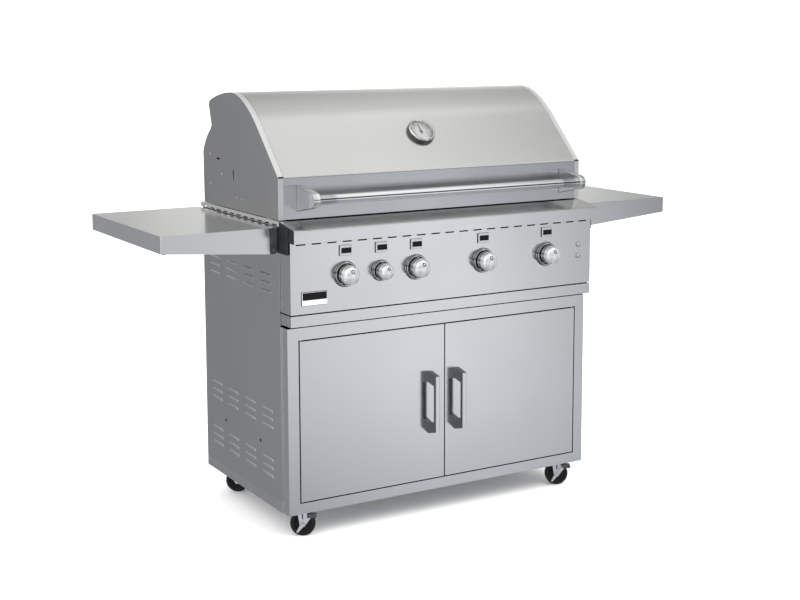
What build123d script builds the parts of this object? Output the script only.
from build123d import *
import os
from math import cos, radians, sin

os.makedirs("parts", exist_ok=True)

# Gas barbecue grill on a two-door cart, in millimetres, +Z up.
# Laid out with x = 0 on the centre line, y = 0 on the front of the cart's face frame (+y
# backwards) and z = 0 on the floor; every part is then moved so that the origin is the
# middle of the footprint of its bounding box.

# ---- Driving dimensions ---------------------------------------------------------------
PANEL_W = 1067.0            # control panel width
HALF = 536.0                # half width over the side panels
SHEET = 1.5                 # stainless sheet
CART_FRONT, CART_BACK = 38.0, 596.0   # the side panels run between these
CART_BOTTOM, HEM_TOP = 78.0, 108.0    # lower edge of the cart, and of its side panels
FRAME_HALF, FRAME_TOP, FRAME_DEPTH = 532.2, 633.0, 37.5
DOOR_HALF, DOOR_BOTTOM, DOOR_TOP = 493.2, 113.9, 592.5
DOOR_GAP = 3.5
TRAY_BOTTOM, TRAY_TOP = 641.5, 676.5
RAIL_TOP = 650.5                      # the tray slides on these
PANEL_FRONT, PANEL_BOTTOM, PANEL_TOP = -27.5, 677.5, 884.0
LEDGE_FRONT, LEDGE_BOTTOM = -59.0, 885.0
RIM_BOTTOM, RIM_TOP, RIM_BACK = 925.0, 940.0, 612.0
SHELF_IN, SHELF_OUT = 565.0, 893.0
SHELF_FRONT, SHELF_BACK = 37.4, 620.0
SHELF_TOP = 923.5
SHELF_DEEP, SHELF_SHALLOW = 848.0, 874.0   # lower edge at the inner and the outer end
HOOD_BOTTOM = 943.0
HOOD_FRONT = 40.0
FOLD = (HOOD_FRONT, 1065.0)           # (y, z) corners of the hood's outline
SLOPE_END = (180.0, 1205.0)
SHOULDER = (290.0, 1280.5)
CROWN = (372.0, 1296.0)
BACK_SHOULDER = (526.0, 1266.0)
BACK_CORNER = (533.0, 1253.0)
LID_BACK = (514.0, 1190.0)
HOOD_PIVOT = (440.0, 1044.0)
BACK_RADIUS = 156.0                   # back housing, struck from the hood's pivot
BACK_ANGLES = (56.0, 22.0)
FLANGE = 18.0                         # folded edge of each hood wall
LID_HALF = 516.5
KNOB_Z = 783.0
MAIN_KNOBS = (-358.0, -119.5, 119.5, 358.0)
REAR_KNOB = -239.0
BUTTON_X, BUTTON_ZS = 484.0, (803.0, 767.0)
HANDLE_AXIS = (-50.0, 1005.5)
HANDLE_R, NOSE_R = 14.0, 22.0
BRACKET_X, BRACKET_W = 467.0, 23.0
WHEEL_R, WHEEL_W = 37.5, 26.0
CASTER_XY = (464.5, 37.0, 508.0)      # swivel axes: half spacing, front y, rear y
CASTER_YAW = -29.7                    # how the casters happen to stand
TRAIL = 6.0
PIN_R, RUNNING = 4.0, 0.05
CENTRE_Y = (HANDLE_AXIS[0] - NOSE_R + SHELF_BACK) / 2


# ---- Helpers --------------------------------------------------------------------------
def block(x0, x1, y0, y1, z0, z1):
    """A box between two corners."""
    size = Box(abs(x1 - x0), abs(y1 - y0), abs(z1 - z0))
    return Pos((x0 + x1) / 2, (y0 + y1) / 2, (z0 + z1) / 2) * size


def rod_x(x0, x1, y, z, r):
    return Pos((x0 + x1) / 2, y, z) * Rot(0, 90, 0) * Cylinder(r, abs(x1 - x0))


def rod_y(x, y0, y1, z, r):
    return Pos(x, (y0 + y1) / 2, z) * Rot(90, 0, 0) * Cylinder(r, abs(y1 - y0))


def rod_z(x, y, z0, z1, r):
    return Pos(x, y, (z0 + z1) / 2) * Cylinder(r, abs(z1 - z0))


def along_x(outline, x0, x1):
    """Extrude a (y, z) outline between two x positions."""
    side = Plane(origin=(x0, 0, 0), x_dir=(0, 1, 0), z_dir=(1, 0, 0))
    return extrude(side * outline, x1 - x0, dir=(1, 0, 0))


def rect(u0, u1, v0, v1):
    return Pos((u0 + u1) / 2, (v0 + v1) / 2) * Rectangle(abs(u1 - u0), abs(v1 - v0))


def polygon(*points):
    return make_face(Polyline(*points, close=True))


def mirrored(shape):
    return shape.mirror(Plane.YZ)


def group(shapes):
    return Compound(children=[s for shape in shapes for s in shape.solids()])


def on_circle(angle, radius):
    y, z = HOOD_PIVOT
    return (y + radius * cos(radians(angle)), z + radius * sin(radians(angle)))


def save(name, shape):
    """Write one sub-part, moved to the row's origin."""
    export_step(Pos(0, -CENTRE_Y, 0) * shape, f"parts/{name}.step")


# ---- Hood outlines --------------------------------------------------------------------
def hood_top_lines():
    """Front fold, sloping front, crown and back shoulder, shared by the lid and walls."""
    outline = slope = Line(FOLD, SLOPE_END)
    corners = (SLOPE_END, SHOULDER, CROWN, BACK_SHOULDER)
    for start, end in zip(corners, corners[1:]):
        slope = TangentArc(start, end, tangent=slope % 1)
        outline += slope
    return outline + Line(BACK_SHOULDER, BACK_CORNER)


def wall_face():
    """Side elevation of a fixed hood wall."""
    start, end = BACK_ANGLES
    arc = ThreePointArc(*[on_circle(a, BACK_RADIUS) for a in (start, (start + end) / 2, end)])
    foot_front = (HOOD_FRONT, HOOD_BOTTOM - 0.5)
    foot_back = (582.0, HOOD_BOTTOM - 0.5)
    lines = (Line(foot_front, FOLD) + hood_top_lines() + Line(BACK_CORNER, LID_BACK)
             + Line(LID_BACK, arc @ 0) + arc + Line(arc @ 1, foot_back)
             + Line(foot_back, foot_front))
    return make_face(lines)


def lid_region(inset=0.0):
    """Area under the lid, carried on below it so that its edge can be offset."""
    run = (BACK_CORNER[0] - LID_BACK[0]) / (BACK_CORNER[1] - LID_BACK[1])
    low = 900.0
    low_back = (LID_BACK[0] - run * (LID_BACK[1] - low), low)
    lines = (Line((HOOD_FRONT, low), FOLD) + hood_top_lines() + Line(BACK_CORNER, low_back)
             + Line(low_back, (HOOD_FRONT, low)))
    face = make_face(lines)
    return offset(face, amount=-inset) if inset else face


# ---- Cart -----------------------------------------------------------------------------
LOUVRE_YS = (132.5, 257.0, 381.5, 506.0)
LOUVRE_ZS = (773.0, 748.5, 723.5, 366.5, 341.5, 317.0, 218.0, 193.0, 168.5)
LOUVRE_LENGTH, LOUVRE_R, LOUVRE_OUT = 71.0, 9.0, 3.0


def capsule(radius, y, z):
    """Rounded bar along y, sunk into the left side panel so LOUVRE_OUT stands proud."""
    x = -HALF + LOUVRE_R - LOUVRE_OUT
    half = LOUVRE_LENGTH / 2 - 3.0
    bar = rod_y(x, y - half, y + half, z, radius)
    ends = [Pos(x, y + s * half, z) * Sphere(radius) for s in (-1, 1)]
    return (bar + ends) & block(x - 20, x, y - 60, y + 60, z, z + 20)


def side_panel():
    """Tall left side sheet of the cart and firebox, with stamped louvres and a tray rail."""
    panel = block(-HALF, -HALF + SHEET, CART_FRONT, CART_BACK, HEM_TOP, RIM_BOTTOM)
    for y0, y1 in ((CART_FRONT, CART_FRONT + SHEET), (CART_BACK - SHEET, CART_BACK)):
        panel += block(-HALF + SHEET, -HALF + 9.5, y0, y1, HEM_TOP, RIM_BOTTOM)
    outside = block(-HALF - 10, -HALF + SHEET, 0, 700, 0, 1000)
    spots = [(y, z) for y in LOUVRE_YS for z in LOUVRE_ZS]
    inner = [capsule(LOUVRE_R - 1.2, y, z) for y, z in spots]
    outer = [capsule(LOUVRE_R, y, z) & outside for y, z in spots]
    panel = (panel + outer) - inner
    panel += block(-HALF + SHEET, -470, 60, 580, RAIL_TOP - SHEET, RAIL_TOP)
    return panel - [rod_x(-HALF - 5, -HALF + 5, y, 261.5, 5) for y in (185, 443)]


def back_panel():
    inner = HALF - SHEET - 0.2
    y1 = CART_BACK - SHEET
    panel = block(-inner, inner, y1 - SHEET, y1, HEM_TOP, RIM_BOTTOM)
    vents = [block(x - 45, x + 45, y1 - 5, y1 + 5, z, z + 8)
             for x in (-360, -120, 120, 360) for z in (560, 590, 620)]
    hose_hole = block(-60, 60, y1 - 5, y1 + 5, 150, 210)
    inlet_hole = rod_y(518, y1 - 5, y1 + 5, KNOB_Z, 9)
    return panel - vents - hose_hole - inlet_hole


def floor_pan():
    """Bottom pan with turned-down lips that show below the side panels."""
    outer = block(-HALF, HALF, CART_FRONT, CART_BACK, CART_BOTTOM, HEM_TOP)
    inner = block(-HALF + SHEET, HALF - SHEET, CART_FRONT + SHEET, CART_BACK - SHEET,
                  CART_BOTTOM - 1, HEM_TOP - SHEET)
    x, y, _ = CASTER_XY
    notches = [block(s * x - 36, s * x + 36, CART_FRONT - 1, CART_FRONT + SHEET + 1,
                     CART_BOTTOM - 1, HEM_TOP - SHEET) for s in (-1, 1)]
    pressing = block(-520, 520, CART_FRONT + 14, CART_BACK - 14, HEM_TOP - 0.5, HEM_TOP + 1)
    return outer - inner - notches - pressing


def face_frame():
    """Front frame around the doors: face sheet, outer returns and door jambs."""
    ow, z0, z1 = FRAME_HALF, CART_BOTTOM, FRAME_TOP
    iw = DOOR_HALF + DOOR_GAP
    iz0, iz1 = DOOR_BOTTOM - DOOR_GAP, DOOR_TOP + DOOR_GAP
    shell = block(-ow, ow, 0, FRAME_DEPTH, z0, z1)
    shell -= block(-ow + SHEET, ow - SHEET, SHEET, FRAME_DEPTH + 1, z0 + SHEET, z1 - SHEET)
    jamb = block(-iw - SHEET, iw + SHEET, 0, 22, iz0 - SHEET, iz1 + SHEET)
    frame = shell + jamb - block(-iw, iw, -1, FRAME_DEPTH + 1, iz0, iz1)
    x, y, _ = CASTER_XY
    return frame - [rod_z(s * x, y, z0 - 1, z0 + 10, 34) for s in (-1, 1)]


DOOR_PIN_X, DOOR_PIN_Y = DOOR_HALF - 5.2, 6.0
DOOR_PIN_R = 3.0


def door():
    """Left door: a folded pan with a rolled-in back edge and a hinge block at each end."""
    x0, x1, depth = -DOOR_HALF, -1.8, 20.0
    pan = block(x0, x1, 0, depth, DOOR_BOTTOM, DOOR_TOP)
    pan -= block(x0 + SHEET, x1 - SHEET, SHEET, depth - SHEET, DOOR_BOTTOM + SHEET,
                 DOOR_TOP - SHEET)
    pan -= block(x0 + 25, x1 - 25, depth - 5, depth + 1, DOOR_BOTTOM + 25, DOOR_TOP - 25)
    for z in (DOOR_BOTTOM, DOOR_TOP - 12):
        pan += block(x0 + SHEET, x0 + 14, SHEET, 14, z, z + 12)
    return pan - rod_z(-DOOR_PIN_X, DOOR_PIN_Y, 0, 1000, DOOR_PIN_R + RUNNING)


def door_handle():
    """Vertical pull with flared feet, for the left door; hollow along the back of its grip."""
    x0, x1 = -59.5, -44.5
    side = polygon((0, 258), (-45, 270), (-45, 443), (0, 452))
    gap = polygon((0.5, 291), (-33, 300), (-33, 412), (0.5, 418))
    bar = along_x(side, x0, x1) - along_x(gap, x0 - 1, x1 + 1)
    front = bar.edges().filter_by(Axis.Z).group_by(Axis.Y)[0]
    bar = fillet(front, 2.5)
    return bar - block(x0 + 3, x1 - 3, -38, -30, 302, 410)


def cart_parts():
    left = side_panel()
    save("side_panel_left", left)
    save("side_panel_right", mirrored(left))
    save("back_panel", back_panel())
    save("floor_pan", floor_pan())
    save("face_frame", face_frame())
    left = door()
    save("door_left", left)
    save("door_right", mirrored(left))
    left = door_handle()
    save("door_handle_left", left)
    save("door_handle_right", Pos(-8, 0, 0) * mirrored(left))


# ---- Drip tray ------------------------------------------------------------------------
def drip_tray():
    """Grease tray that pulls out forwards, with a full-width front band."""
    half = PANEL_W / 2
    band = block(-half, half, PANEL_FRONT, 36, TRAY_BOTTOM, TRAY_TOP)
    band -= block(-half + SHEET, half - SHEET, PANEL_FRONT + SHEET, 40, TRAY_BOTTOM + SHEET,
                  TRAY_TOP + 1)
    pan = block(-485, 485, PANEL_FRONT + SHEET, 560, RAIL_TOP + 0.5, TRAY_TOP - 1)
    pan -= block(-485 + SHEET, 485 - SHEET, PANEL_FRONT + 2 * SHEET, 560 - SHEET,
                 RAIL_TOP + 0.5 + SHEET, TRAY_TOP + 5)
    return band + pan


# ---- Firebox and what it holds --------------------------------------------------------
FIREBOX_HALF, FIREBOX_Y = 510.0, (44.0, 576.0)
FIREBOX_FLOOR = 715.0
GRATE_TOP = 938.0


def firebox():
    """Open-topped cooking box; its floor falls to a drain slot over the tray."""
    y0, y1 = FIREBOX_Y
    wall = 2.0
    shell = block(-FIREBOX_HALF, FIREBOX_HALF, y0, y1, FIREBOX_FLOOR, RIM_TOP - SHEET)
    shell -= block(-FIREBOX_HALF + wall, FIREBOX_HALF - wall, y0 + wall, y1 - wall,
                   FIREBOX_FLOOR + wall, RIM_TOP + 1)
    drain = block(-330, 330, 280, 340, FIREBOX_FLOOR - 5, FIREBOX_FLOOR + 5)
    ports = [rod_y(x, y0 - 5, y0 + 5, KNOB_Z, 14) for x in MAIN_KNOBS]
    ledge = block(-FIREBOX_HALF + wall, FIREBOX_HALF - wall, y0 + wall, y0 + 20, 918.8, 920.8)
    ledge += block(-FIREBOX_HALF + wall, FIREBOX_HALF - wall, y1 - 20, y1 - wall, 918.8, 920.8)
    return shell - drain - ports + ledge


def firebox_rim():
    """Bright flange on each side of the firebox, with a row of vent slots along its foot."""
    slots = [block(-HALF - 5, -HALF + 3, y - 15, y + 15, RIM_BOTTOM + 1.2, RIM_BOTTOM + 5.2)
             for y in range(68, 600, 50)]
    top = block(-HALF, -FIREBOX_HALF, CART_FRONT, RIM_BACK, RIM_TOP - SHEET, RIM_TOP)
    outer = block(-HALF, -HALF + SHEET, CART_FRONT, RIM_BACK, RIM_BOTTOM, RIM_TOP - SHEET)
    left = top + outer - slots
    return group([left, mirrored(left)])


def burner_tubes():
    """Four tube burners, from the front wall to the back wall of the firebox."""
    y0, y1 = FIREBOX_Y
    burners = []
    for x in MAIN_KNOBS:
        tube = rod_y(x, y0 - 4, y1 - 40, KNOB_Z, 12)
        tube += rod_y(x, y0 + 60, y1 - 41, KNOB_Z + 6, 20)
        ports = [rod_z(x + s * 12, y, KNOB_Z + 15, KNOB_Z + 40, 1.5)
                 for s in (-1, 1) for y in range(130, 520, 30)]
        bore = rod_y(x, y0 - 5, y0 + 50, KNOB_Z, 9)
        post = block(x - 8, x + 8, y1 - 42, y1 - 2.1, KNOB_Z, KNOB_Z + 3)
        burners.append(tube - ports - bore + post)
    return group(burners)


def flame_tamers():
    """Inverted-V heat plates over the burners."""
    y0, y1 = FIREBOX_Y
    tamers = []
    for x in MAIN_KNOBS:
        outer = [(x - 75, 835), (x, 885), (x + 75, 835), (x + 75, 833), (x, 883), (x - 75, 833)]
        plate = extrude(Plane(origin=(0, y0 + 2.5, 0), x_dir=(1, 0, 0), z_dir=(0, -1, 0))
                        * make_face(Polyline(*outer, close=True)), -(y1 - y0 - 5))
        holes = [rod_x(x - 90, x + 90, y, 848, 4) for y in range(90, 560, 60)]
        tamers.append(plate - holes)
    return group(tamers)


def cooking_grates():
    """Four cast grates side by side on the firebox ledges."""
    y0, y1 = FIREBOX_Y[0] + 3, FIREBOX_Y[1] - 3
    width = (2 * FIREBOX_HALF - 4) / 4 - 1.0
    grates = []
    for i in range(4):
        x0 = -FIREBOX_HALF + 2.5 + i * (width + 1.0)
        rim = block(x0, x0 + width, y0, y1, 921, 931)
        rim -= block(x0 + 10, x0 + width - 10, y0 + 10, y1 - 10, 920, 932)
        bars = [block(x0 + 16 + k * 18.4, x0 + 22 + k * 18.4, y0, y1, 925, GRATE_TOP)
                for k in range(13)]
        ties = [block(x0, x0 + width, y - 4, y + 4, 921, 929) for y in (220, 400)]
        grates.append(rim + bars + ties)
    return group(grates)


def back_housing():
    """Fixed back of the cooking chamber: an arc struck from the hood pivot, then a wall."""
    outer = BACK_RADIUS - 1.5
    angles = (68.0, 45.0, BACK_ANGLES[1])
    arc = ThreePointArc(*[on_circle(a, outer) for a in angles])
    inner = ThreePointArc(*[on_circle(a, outer - SHEET) for a in reversed(angles)])
    foot_out, foot_in = (581.5, RIM_TOP), (581.5 - SHEET, RIM_TOP)
    lines = (arc + Line(arc @ 1, foot_out) + Line(foot_out, foot_in) + Line(foot_in, inner @ 0)
             + inner + Line(inner @ 1, arc @ 0))
    half = 504.0
    shell = along_x(make_face(lines), -half, half)
    shell += block(-half, half, FIREBOX_Y[1] - 2, 581.5, RIM_TOP - SHEET, RIM_TOP)
    vents = [block(x - 30, x + 30, 570, 590, 1070, 1078) for x in range(-400, 401, 100)]
    return shell - vents


def rear_burner():
    """Infrared burner on the back housing: a shallow box with a recessed ceramic face."""
    body = block(-230, 230, 548, 579.9, 958, 1052)
    return body - block(-218, 218, 545, 556, 970, 1040)


def warming_rack():
    """Wire shelf carried by the back housing."""
    z = 1092.0
    rack = rod_x(-445, 445, 470, z, 3.5) + rod_x(-445, 445, 555, z, 3.5)
    rack += [rod_y(x, 471, 554, z, 2) for x in range(-440, 441, 20)]
    return rack + [block(x - 2, x + 2, 555, 579.9, z - 12, z + 1) for x in (-430, 0, 430)]


MANIFOLD_Y = 24.0
VALVE_FRONT, VALVE_BACK = -18.0, 12.0


def manifold_pipe():
    """Gas manifold behind the panel, led back along the right side to the inlet."""
    r, x_end = 7.0, 518.0
    pipe = rod_x(-400, x_end, MANIFOLD_Y, KNOB_Z, r)
    pipe += Pos(x_end, MANIFOLD_Y, KNOB_Z) * Sphere(r)
    return pipe + rod_y(x_end, MANIFOLD_Y, 589, KNOB_Z, r)


def gas_inlet():
    """Hexagon and 5/8 in flare nose for the gas supply, through the back panel."""
    nut = Pos(518, 589, KNOB_Z) * Rot(-90, 0, 0) * extrude(RegularPolygon(8.6, 6), 9)
    neck = rod_y(518, 598, 600, KNOB_Z, 6.5)
    return nut + neck + rod_y(518, 600, 616, KNOB_Z, 7.9)


def gas_valves():
    """One tap behind each knob, with a blind socket for the knob's stem."""
    valves = []
    for x in MAIN_KNOBS + (REAR_KNOB,):
        body = block(x - 13, x + 13, VALVE_FRONT, VALVE_BACK, KNOB_Z - 15, KNOB_Z + 15)
        body += rod_y(x, VALVE_BACK, MANIFOLD_Y - 7.3, KNOB_Z, 6)
        valves.append(body - rod_y(x, VALVE_FRONT - 1, VALVE_FRONT + 10, KNOB_Z,
                                   PIN_R + RUNNING))
    return group(valves)


def firebox_parts():
    save("drip_tray", drip_tray())
    save("firebox", firebox())
    save("firebox_rim", firebox_rim())
    save("burner_tubes", burner_tubes())
    save("flame_tamers", flame_tamers())
    save("cooking_grates", cooking_grates())
    save("back_housing", back_housing())
    save("rear_burner", rear_burner())
    save("warming_rack", warming_rack())
    save("manifold_pipe", manifold_pipe())
    save("gas_inlet", gas_inlet())
    save("gas_valves", gas_valves())


# ---- Control panel --------------------------------------------------------------------
BUTTON_R = 7.5


def control_panel():
    """Front fascia with stem holes and a row of vent slots under the ledge."""
    half, back = PANEL_W / 2, 36.5
    fascia = block(-half, half, PANEL_FRONT, back, PANEL_BOTTOM, PANEL_TOP)
    fascia -= block(-half + SHEET, half - SHEET, PANEL_FRONT + SHEET, back + 1,
                    PANEL_BOTTOM + SHEET, PANEL_TOP + 1)
    fascia -= block(-half + 40, half - 40, PANEL_FRONT + 25, back + 1, PANEL_BOTTOM - 1,
                    PANEL_BOTTOM + 5)
    fascia -= [block(x - 15, x + 15, PANEL_FRONT - 1, PANEL_FRONT + 3, 876.2, 881.0)
               for x in range(-500, 501, 50)]
    fascia -= [rod_y(x, PANEL_FRONT - 1, PANEL_FRONT + 3, KNOB_Z, 6)
               for x in MAIN_KNOBS + (REAR_KNOB,)]
    return fascia - [rod_y(BUTTON_X, PANEL_FRONT - 1, PANEL_FRONT + 3, z, BUTTON_R + 0.3)
                     for z in BUTTON_ZS]


def front_ledge():
    """Sloping ledge with a rolled front edge and closed ends, over the control panel."""
    front, low, back = LEDGE_FRONT, LEDGE_BOTTOM, CART_FRONT - 0.5
    nose = polygon((front, low), (front, 922), (front + 4, 924.6), (back, RIM_TOP),
                   (back, low), (PANEL_FRONT, low))
    outer = along_x(nose, -HALF, HALF)
    edges = outer.edges().filter_by(Axis.X).filter_by(
        lambda e: abs(e.center().Y - front) < 5 and e.center().Z > 920)
    outer = fillet(edges, 2.2)
    cavity = polygon((front + SHEET, low + SHEET), (front + SHEET, 921),
                     (front + 4.5, 922.8), (back + 5, RIM_TOP - 0.4 - SHEET),
                     (back + 5, low - 5), (PANEL_FRONT + SHEET, low - 5),
                     (PANEL_FRONT + SHEET, low + SHEET))
    return outer - along_x(cavity, -HALF + SHEET, HALF - SHEET)


def knob_sizes():
    """Name, x and scale of each knob, left to right."""
    xs = sorted(MAIN_KNOBS + (REAR_KNOB,))
    return [(f"knob_{i + 1}", x, 0.83 if x == REAR_KNOB else 1.0) for i, x in enumerate(xs)]


def turned(points, x, z, y):
    """Revolve (radius, depth) points about a -y axis through (x, z), from the plane y."""
    face = make_face(Polyline(*points, close=True))
    return Pos(x, y, z) * Rot(90, 0, 0) * revolve(Plane.XZ * face, Axis.Z)


def bezel(x, k):
    """Stepped ring round a knob."""
    ring = [(30 * k, 0), (38.5 * k, 0), (38.5 * k, 3), (36 * k, 8), (34 * k, 9.5),
            (32 * k, 9.5), (30 * k, 6)]
    return turned(ring, x, KNOB_Z, PANEL_FRONT)


def knob(x, k):
    """Domed knob with its stem, and a round dimple that shows where it points."""
    profile = Polyline((0, 2), (26 * k, 2), (28 * k, 5), (29 * k, 26), (27.5 * k, 36))
    dome = ThreePointArc((27.5 * k, 36), (17 * k, 47), (0, 51))
    face = make_face(profile + dome + Line((0, 51), (0, 2)))
    body = Pos(x, PANEL_FRONT, KNOB_Z) * Rot(90, 0, 0) * revolve(Plane.XZ * face, Axis.Z)
    stem = rod_y(x, PANEL_FRONT - 2, VALVE_FRONT + 8, KNOB_Z, PIN_R)
    dimple = rod_y(x, PANEL_FRONT - 56, PANEL_FRONT - 45.2, KNOB_Z + 14 * k, 6.2 * k)
    core = rod_y(x, PANEL_FRONT - 60, PANEL_FRONT - 43.5, KNOB_Z + 14 * k, 4.4 * k)
    return body + stem - (dimple - core)


def label_plates():
    """Raised tile with a sunk window above each knob."""
    tiles = []
    for _, x, _ in knob_sizes():
        y = PANEL_FRONT
        tile = block(x - 19, x + 20, y - 4, y, 837, 868)
        tile = fillet(tile.edges().group_by(Axis.Y)[0], 1.2)
        tiles.append(tile - block(x - 14, x + 20.5, y - 5, y - 3, 844, 860))
    return group(tiles)


def badge():
    plate = block(-500, -416, PANEL_FRONT - 3, PANEL_FRONT, 701, 741)
    return fillet(plate.edges().group_by(Axis.Y)[0], 1)


def button(z):
    """Domed push button that slides through the fascia."""
    points = [(0, -9), (BUTTON_R, -9), (BUTTON_R, 4), (5.5, 6.5), (0, 7.5)]
    return turned(points, BUTTON_X, z, PANEL_FRONT)


def panel_parts():
    save("control_panel", control_panel())
    save("front_ledge", front_ledge())
    save("knob_bezels", group([bezel(x, k) for _, x, k in knob_sizes()]))
    for name, x, k in knob_sizes():
        save(name, knob(x, k))
    save("label_plates", label_plates())
    save("badge", badge())
    save("igniter_button", button(BUTTON_ZS[0]))
    save("light_button", button(BUTTON_ZS[1]))


# ---- Hood -----------------------------------------------------------------------------
def hood_wall():
    """Fixed left wall of the hood: a sheet with a folded edge, notched at the front fold."""
    x0, x1 = -HALF, -HALF + SHEET
    face = wall_face()
    edge = face - offset(face, amount=-SHEET)
    edge -= rect(0, 700, HOOD_BOTTOM - 10, HOOD_BOTTOM + 1.5) - rect(0, HOOD_FRONT + SHEET, 900, 950)
    wall = along_x(face, x0, x1) + along_x(edge, x1, x0 + FLANGE)
    wall += [block(x1, x1 + SHEET, y, y + 30, RIM_TOP, RIM_TOP + 20) for y in (90, 520)]
    wall -= block(x1, x0 + FLANGE + 1, 30, 50, FOLD[1] - 2.4, FOLD[1] + 2.0)
    wall -= block(x0 - 1, x1 + 1, 349, 357, 1031, 1062)
    wall -= block(x0 - 1, x1 + 1, 456, 478, 1085.5, 1091.5)
    return wall - rod_x(x0 - 1, x1 + 0.01, *HOOD_PIVOT, 5)


def wall_screws():
    """Screw heads on both hood walls."""
    spots = ((531, 1098, 4), (531, 1007, 4), (330, 979, 3), (291, 977, 3))
    heads = [rod_x(s * HALF, s * (HALF + 1.6), y, z, r) for s in (-1, 1) for y, z, r in spots]
    return group(heads)


def hood_skin():
    """Bent sheet of the lid, from its lower front edge over the crown to its back edge."""
    sheet = lid_region() - lid_region(SHEET)
    sheet -= rect(0, 700, 800, HOOD_BOTTOM)
    sheet -= rect(300, 700, 800, LID_BACK[1])
    sheet += rect(HOOD_FRONT + SHEET, HOOD_FRONT + 14, HOOD_BOTTOM, HOOD_BOTTOM + SHEET)
    return along_x(sheet, -LID_HALF, LID_HALF)


def hood_arms():
    """End plates of the lid, which carry it on the two pivots."""
    y, z = HOOD_PIVOT
    keep = polygon((70, 952), (20, 952), (20, 1320), (600, 1320), (600, LID_BACK[1] + 2),
                   (502, LID_BACK[1] + 2), (y + 20, z), (y, z - 20), (y - 15, z - 14),
                   (345, 1100), (150, 1080))
    plate = lid_region(SHEET + 0.3) & keep
    plate = plate + Pos(y, z) * Circle(22) - Pos(y, z) * Circle(6 + RUNNING)
    left = along_x(plate, -510, -508)
    return group([left, mirrored(left)])


def handle_brackets():
    """Cast brackets with a round nose about the handle tube."""
    y, z = HANDLE_AXIS
    base = HOOD_FRONT
    foot = Line((base, 964), (base, 1042))
    side = make_hull((Pos(y, z) * Circle(NOSE_R)).edges() + foot.edges())
    right = along_x(side, BRACKET_X - BRACKET_W / 2, BRACKET_X + BRACKET_W / 2)
    caps = right.faces().sort_by(Axis.X)
    right = fillet(caps[0].edges() + caps[-1].edges(), 2.5)
    return group([right, mirrored(right)])


def handle_tube():
    y, z = HANDLE_AXIS
    half = BRACKET_X - BRACKET_W / 2
    return rod_x(-half, half, y, z, HANDLE_R) - rod_x(-half - 1, half + 1, y, z, HANDLE_R - 2)


GAUGE_R, GAUGE_DEPTH = 45.0, 16.0
GAUGE_Z = 1167.0


def gauge_plane():
    """Plane on the sloping front of the lid, facing out, with its x axis along +x."""
    run, rise = SLOPE_END[0] - FOLD[0], SLOPE_END[1] - FOLD[1]
    y = FOLD[0] + (GAUGE_Z - FOLD[1]) * run / rise
    return Plane(origin=(0, y, GAUGE_Z), x_dir=(1, 0, 0), z_dir=(0, -rise, run))


def gauge_turned(points):
    face = make_face(Polyline(*points, close=True))
    return gauge_plane() * revolve(Plane.XZ * face, Axis.Z)


def gauge_parts():
    """Thermometer: cup with its probe, dial plate and needle."""
    cup = [(0, 0), (GAUGE_R - 3, 0), (GAUGE_R, 3), (GAUGE_R, GAUGE_DEPTH - 4),
           (GAUGE_R - 4, GAUGE_DEPTH), (38, GAUGE_DEPTH), (37, GAUGE_DEPTH - 5),
           (37, 4), (0, 4)]
    housing = gauge_turned(cup)
    save("gauge_housing", housing)
    save("gauge_dial", gauge_turned([(2.05, 4), (36.9, 4), (36.9, 5.5), (2.05, 5.5)]))
    hub = Pos(0, 0, 7.2) * Cylinder(4, 2.0)
    spindle = Pos(0, 0, 5.3) * Cylinder(2.0, 2.4)
    hand = Pos(0, 0, 6.2) * extrude(polygon((-2.2, -9), (2.2, -9), (0.8, 30), (-0.8, 30)), 1)
    save("gauge_needle", gauge_plane() * (hub + spindle + hand))


def hood_parts():
    left = hood_wall()
    save("hood_wall_left", left)
    save("hood_wall_right", mirrored(left))
    save("wall_screws", wall_screws())
    save("hood_skin", hood_skin())
    save("hood_arms", hood_arms())
    save("handle_brackets", handle_brackets())
    save("handle_tube", handle_tube())
    gauge_parts()


# ---- Side shelves ---------------------------------------------------------------------
SHELF_PIVOT = (-552.0, 860.0)
SHELF_EDGE = 541.5
SHELF_WALL = 16.0                     # width of the hem under the shelf


def shelf_side(inset=0.0):
    """Front elevation of the left shelf: level on top, deeper towards the firebox."""
    return polygon((-SHELF_OUT + inset, SHELF_SHALLOW + inset),
                   (-SHELF_OUT + inset, SHELF_TOP - inset),
                   (-SHELF_IN - inset, SHELF_TOP - inset),
                   (-SHELF_IN - inset, SHELF_DEEP + inset))


def along_y(outline, y0, y1):
    """Extrude an (x, z) outline between two y positions."""
    front = Plane(origin=(0, y0, 0), x_dir=(1, 0, 0), z_dir=(0, -1, 0))
    return extrude(front * outline, -(y1 - y0))


def shelf():
    """Left shelf: a deep folded tray, open below, whose top runs in to the firebox."""
    y0, y1 = SHELF_FRONT, SHELF_BACK
    pan = along_y(shelf_side(), y0, y1)
    pan = fillet(pan.edges().filter_by(Axis.Z).group_by(Axis.X)[0], 3)
    pan -= along_y(shelf_side(SHEET), y0 + SHEET, y1 - SHEET)
    pan -= block(-SHELF_OUT + SHELF_WALL, -SHELF_IN - SHELF_WALL, y0 + SHELF_WALL,
                 y1 - SHELF_WALL, SHELF_DEEP - 5, SHELF_SHALLOW + 5)
    pan += block(-SHELF_IN, -SHELF_EDGE, y0, y1, SHELF_TOP - SHEET, SHELF_TOP)
    pan += [block(-SHELF_OUT + SHEET, -SHELF_IN - SHEET, y, y + 3, SHELF_TOP - 30,
                  SHELF_TOP - SHEET) for y in (220, 430)]
    seams = [block(-572, -570, y - 0.7, y + 0.7, SHELF_DEEP + 8, SHELF_TOP + 1)
             for y in (y0, y1)]
    return pan - seams


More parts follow.
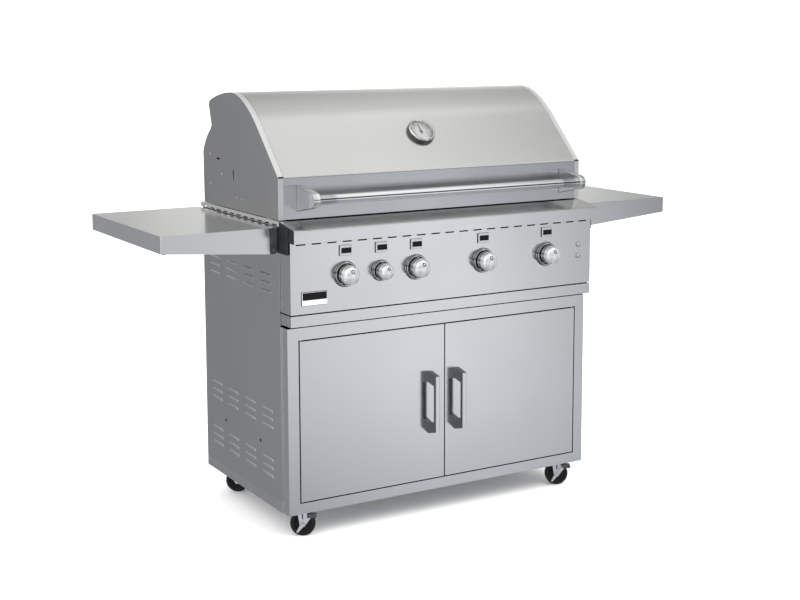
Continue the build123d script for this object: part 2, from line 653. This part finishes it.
def shelf_caps():
    """Dark castings under the inner corners of the left shelf, bored for its pivots."""
    x, z = SHELF_PIVOT
    caps = []
    for y0, y1 in ((SHELF_FRONT, SHELF_FRONT + 24), (SHELF_BACK - 24, SHELF_BACK)):
        cap = block(-SHELF_IN, -SHELF_EDGE, y0, y1, SHELF_DEEP, SHELF_TOP - SHEET)
        cap = fillet(cap.edges().filter_by(Axis.Y).group_by(Axis.Z)[0].sort_by(Axis.X)[-1], 10.4)
        caps.append(cap - rod_y(x, y0 - 1, y1 + 1, z, PIN_R + RUNNING))
    return group(caps)


def shelf_brackets():
    """Dark brackets on the body, each with a lug for the shelf's pivot pin."""
    x, z = SHELF_PIVOT
    inner, outer = -HALF - 0.2, -HALF - 3.0
    brackets = []
    for y0, y1, lug in ((-24, 75, SHELF_FRONT + 25), (550, 611, SHELF_BACK - 36)):
        plate = block(outer, inner, y0, y1, SHELF_DEEP + 2, 921)
        plate += block(x, outer, lug, lug + 10, z - 8, z + 8)
        plate += rod_y(x, lug, lug + 10, z, 8)
        brackets.append(plate - rod_y(x, lug - 1, lug + 11, z, PIN_R))
    return group(brackets + [mirrored(b) for b in brackets])


def hinge_pins():
    """Every fixed pin: two per door, two per shelf and two for the lid."""
    x, z = SHELF_PIVOT
    pins = []
    for s in (-1, 1):
        px = s * DOOR_PIN_X
        pins.append(rod_z(px, DOOR_PIN_Y, DOOR_TOP - 9, DOOR_TOP + DOOR_GAP, DOOR_PIN_R))
        pins.append(rod_z(px, DOOR_PIN_Y, DOOR_BOTTOM - DOOR_GAP, DOOR_BOTTOM + 9, DOOR_PIN_R))
        pins.append(rod_y(-s * x, SHELF_FRONT + 3, SHELF_FRONT + 35, z, PIN_R))
        pins.append(rod_y(-s * x, SHELF_BACK - 36, SHELF_BACK - 3, z, PIN_R))
        pins.append(rod_x(s * 504.0, s * (HALF - SHEET), *HOOD_PIVOT, 6))
    return group(pins)


def shelf_parts():
    left = shelf()
    save("shelf_left", left)
    save("shelf_right", mirrored(left))
    left = shelf_caps()
    save("shelf_caps_left", left)
    save("shelf_caps_right", group([mirrored(left)]))
    save("shelf_brackets", shelf_brackets())
    save("hinge_pins", hinge_pins())


# ---- Casters --------------------------------------------------------------------------
PLATE_TOP = HEM_TOP - SHEET
CROWN_Z = (94.0, 101.0)


def caster_spots():
    """Name and position of each swivel axis."""
    x, y_front, y_rear = CASTER_XY
    return [("front_left", -x, y_front, True), ("front_right", x, y_front, True),
            ("rear_left", -x, y_rear, False), ("rear_right", x, y_rear, False)]


def at_caster(x, y, shape):
    """Place a caster piece drawn with its rolling direction along +x."""
    return Pos(x, y, 0) * Rot(0, 0, CASTER_YAW) * shape


def caster_plate():
    plate = block(-30, 30, -24, 24, PLATE_TOP - 3, PLATE_TOP)
    return plate + rod_z(0, 0, 93.5, PLATE_TOP - 3, 6.5) + rod_z(0, 0, 90, 93.5, 9)


def caster_fork():
    """Swivel crown, two tapering legs and the axle."""
    low, high = CROWN_Z
    fork = rod_z(0, 0, low, high, 26)
    leg = make_hull((Pos(-TRAIL, WHEEL_R) * Circle(9)).edges()
                    + Line((-24, low), (24, low)).edges())
    for y in (-18, 15):
        fork += extrude(Plane(origin=(0, y, 0), x_dir=(1, 0, 0), z_dir=(0, -1, 0)) * leg, -3)
    for y0, y1 in ((-18, -8), (8, 18)):
        fork += block(-9, 9, y0, y1, low - 3, low) & rod_z(0, 0, 0, 200, 24)
    fork += rod_y(-TRAIL, -22, 20, WHEEL_R, PIN_R)
    fork += rod_y(-TRAIL, 18, 21, WHEEL_R, 7)
    fork += rod_y(-TRAIL, -24, -21.6, WHEEL_R, 6)
    return fork - rod_z(0, 0, 90, 110, 6.5 + RUNNING) - rod_z(0, 0, 80, 93.8, 10)


def caster_wheel():
    """Tyre and hub turned in one, bored for the axle."""
    w = WHEEL_W / 2
    points = [(PIN_R + RUNNING, -w - 1.5), (9, -w - 1.5), (9, -w + 3), (25, -w + 3), (27, -w),
              (33, -w), (WHEEL_R - 1.5, -w + 2.5), (WHEEL_R, -w + 7), (WHEEL_R, w - 7),
              (WHEEL_R - 1.5, w - 2.5), (33, w), (27, w), (25, w - 3), (9, w - 3),
              (9, w + 1.5), (PIN_R + RUNNING, w + 1.5)]
    face = make_face(Polyline(*points, close=True))
    return Pos(-TRAIL, 0, WHEEL_R) * Rot(90, 0, 0) * revolve(Plane.XZ * face, Axis.Z)


def caster_brake():
    """Lever on the axle with a tail and a foot pad over the side of the wheel."""
    arm = make_hull((Pos(-TRAIL, WHEEL_R) * Circle(7.5)).edges()
                    + (Pos(20, 68) * Circle(5)).edges())
    tail = make_hull((Pos(-TRAIL, WHEEL_R) * Circle(6)).edges()
                     + (Pos(-21, 16) * Circle(3)).edges())
    flat = Plane(origin=(0, -21.3, 0), x_dir=(1, 0, 0), z_dir=(0, -1, 0))
    lever = extrude(flat * arm, -3) + extrude(flat * tail, -3)
    pad = block(8, 36, -39, -18.3, 64, 74.5)
    pad = fillet(pad.edges().filter_by(Axis.Y), 3)
    return lever + pad - rod_y(-TRAIL, -30, -10, WHEEL_R, PIN_R + RUNNING)


def caster_parts():
    save("caster_plates", group([Pos(x, y, 0) * caster_plate()
                                 for _, x, y, _ in caster_spots()]))
    for name, x, y, braked in caster_spots():
        save(f"fork_{name}", at_caster(x, y, caster_fork()))
        save(f"wheel_{name}", at_caster(x, y, caster_wheel()))
        if braked:
            save(f"brake_{name}", at_caster(x, y, caster_brake()))


cart_parts()
firebox_parts()
panel_parts()
hood_parts()
shelf_parts()
caster_parts()
